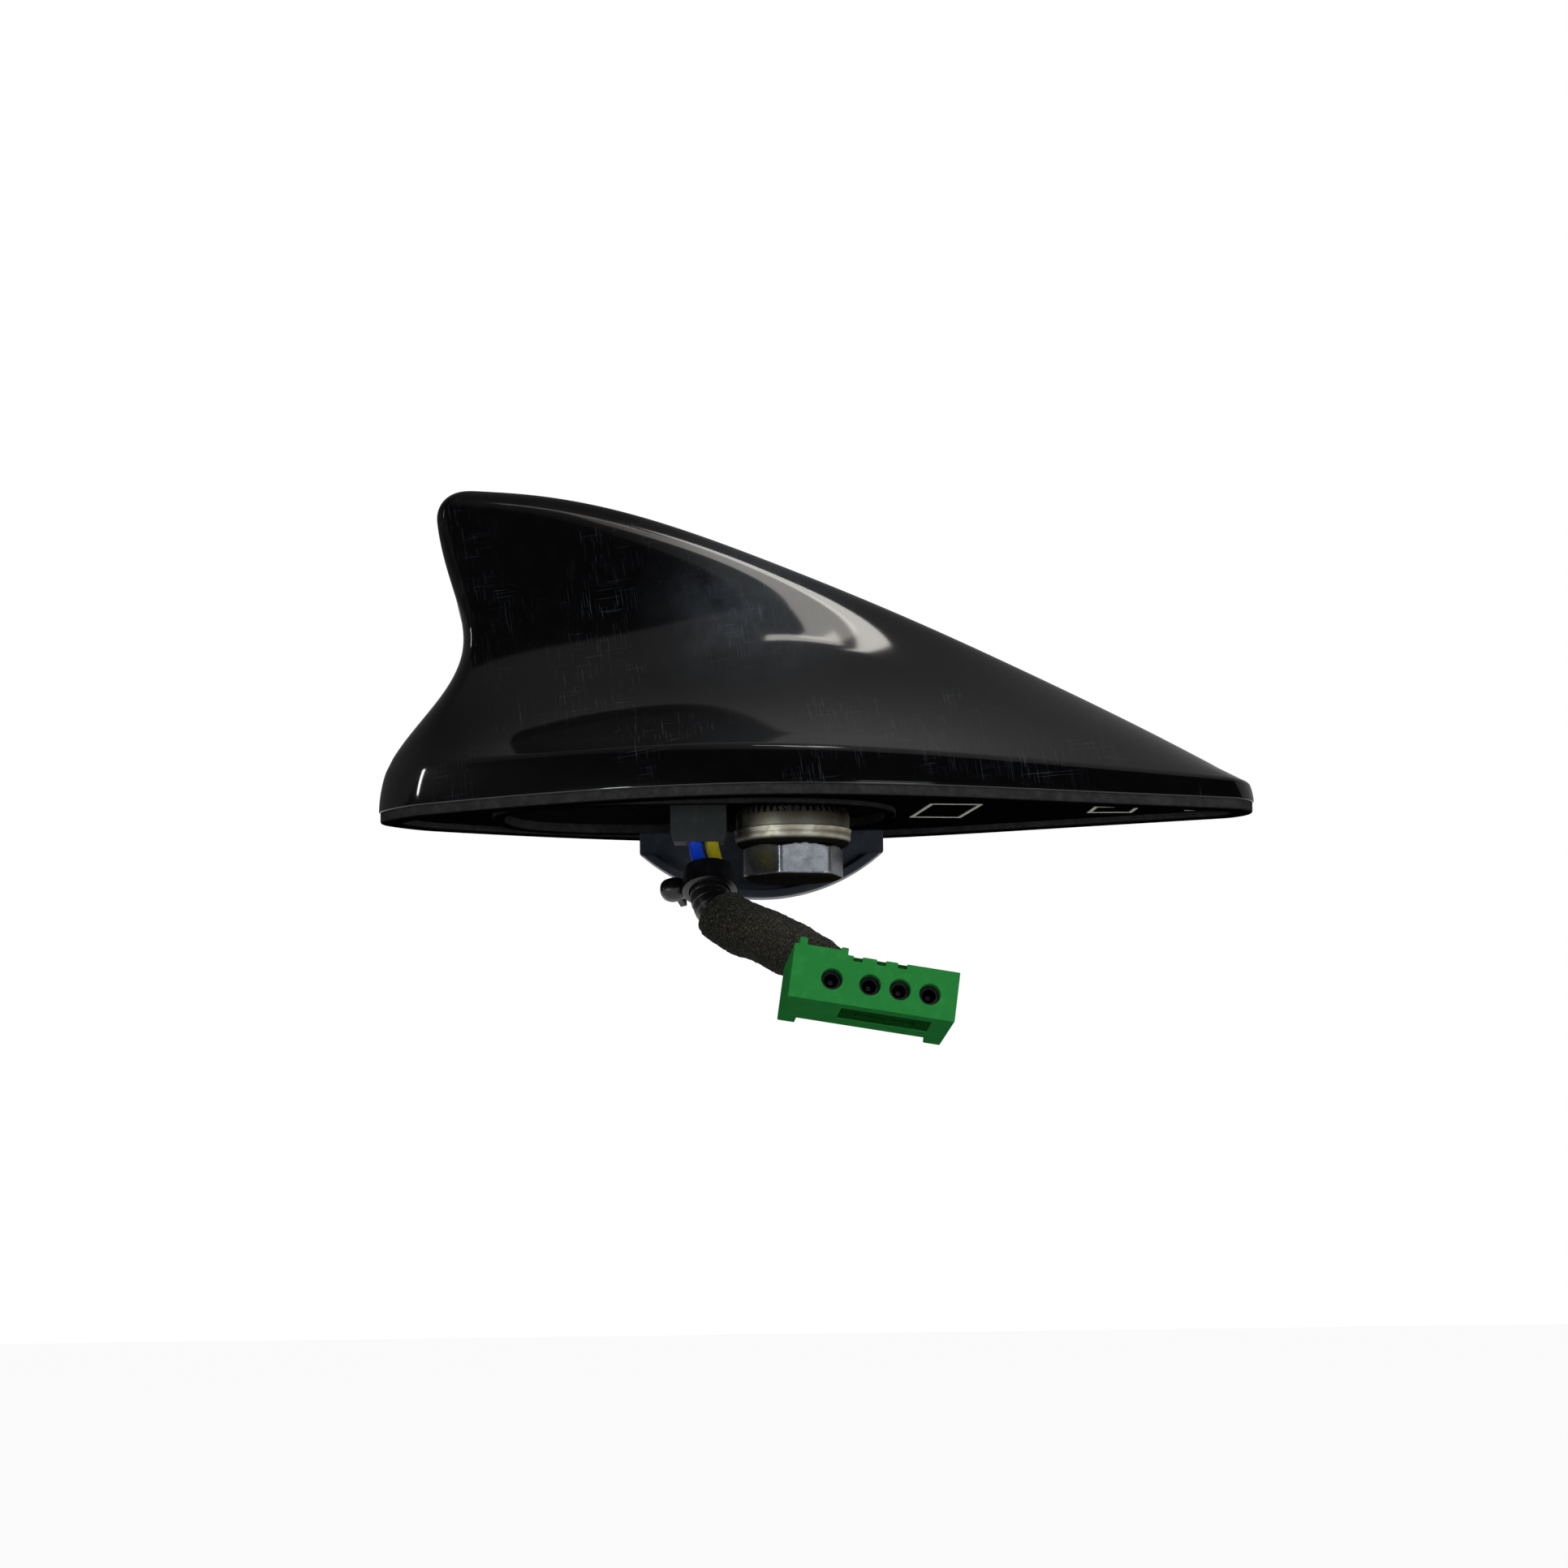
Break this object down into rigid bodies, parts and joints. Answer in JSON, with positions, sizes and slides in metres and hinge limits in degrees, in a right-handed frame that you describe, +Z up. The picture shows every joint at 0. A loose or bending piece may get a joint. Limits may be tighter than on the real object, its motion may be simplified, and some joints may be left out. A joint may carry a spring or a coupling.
{
  "type": "shark fin aerial",
  "caption": "Roof-mounted car aerial: a gloss black fin-shaped cover on a rubber seal, clamped by one hexagon bolt and a toothed earthing collar, with a short coaxial lead.",
  "frame": {"origin": "on the fixing bolt's axis, in the plane of the roof's outer face, where the seal's lowest face rests", "axes": "+X towards the nose, +Z up away from the roof, +Y to the left of the car, away from the viewer of the picture"},
  "size_m": [0.165, 0.1047, 0.1093],
  "materials": {
    "cover_black": "high gloss, fine scratches",
    "seal_rubber": "matt moulded",
    "plate_black": "matt black over die casting",
    "gasket_rubber": "matt",
    "screw_steel": "bright",
    "board_green": "solder mask",
    "tin_plate": "tin plated",
    "patch_ceramic": "fired ceramic",
    "patch_silver": "fired silver",
    "pin_brass": "bright",
    "bracket_black": "moulded",
    "element_brass": "folded sheet",
    "spacer_foam": "open foam",
    "bolt_zinc": "zinc plated, sparkling",
    "collar_zinc": "zinc plated, warm, turned",
    "retainer_nylon": "glossy nylon",
    "outlet_grey": "satin",
    "lead_blue": "satin jacket",
    "lead_yellow": "satin jacket",
    "lead_black": "satin jacket",
    "tie_black": "ribbed nylon",
    "wrap_foam": "speckled felted foam",
    "connector_green": "moulded",
    "lock_green": "moulded",
    "port_black": "moulded",
    "mark_grey": "dull print"
  },
  "bodies": {
    "root": {"cover": "cover_black", "base_seal": "seal_rubber", "base_plate": "plate_black", "cover_gasket": "gasket_rubber", "cover_screws": "screw_steel", "main_board": "board_green", "board_screws": "screw_steel", "shield_can": "tin_plate", "gnss_patch": "patch_ceramic", "gnss_electrode": "patch_silver", "gnss_pin": "pin_brass", "fin_board": "board_green", "fin_bracket": "bracket_black", "top_load": "tin_plate", "lte_front": "element_brass", "lte_rear": "element_brass", "foam_spacer": "spacer_foam", "fixing_bolt": "bolt_zinc", "earthing_collar": "collar_zinc", "retainer": "retainer_nylon", "cable_outlet": "outlet_grey", "coax_blue": "lead_blue", "coax_yellow": "lead_yellow", "coax_black_a": "lead_black", "coax_black_b": "lead_black", "cable_tie": "tie_black", "foam_wrap": "wrap_foam", "connector_housing": "connector_green", "connector_lock": "lock_green", "connector_contacts": "port_black", "label_a": "mark_grey", "label_b": "mark_grey", "label_c": "mark_grey"}
  },
  "joints": []
}
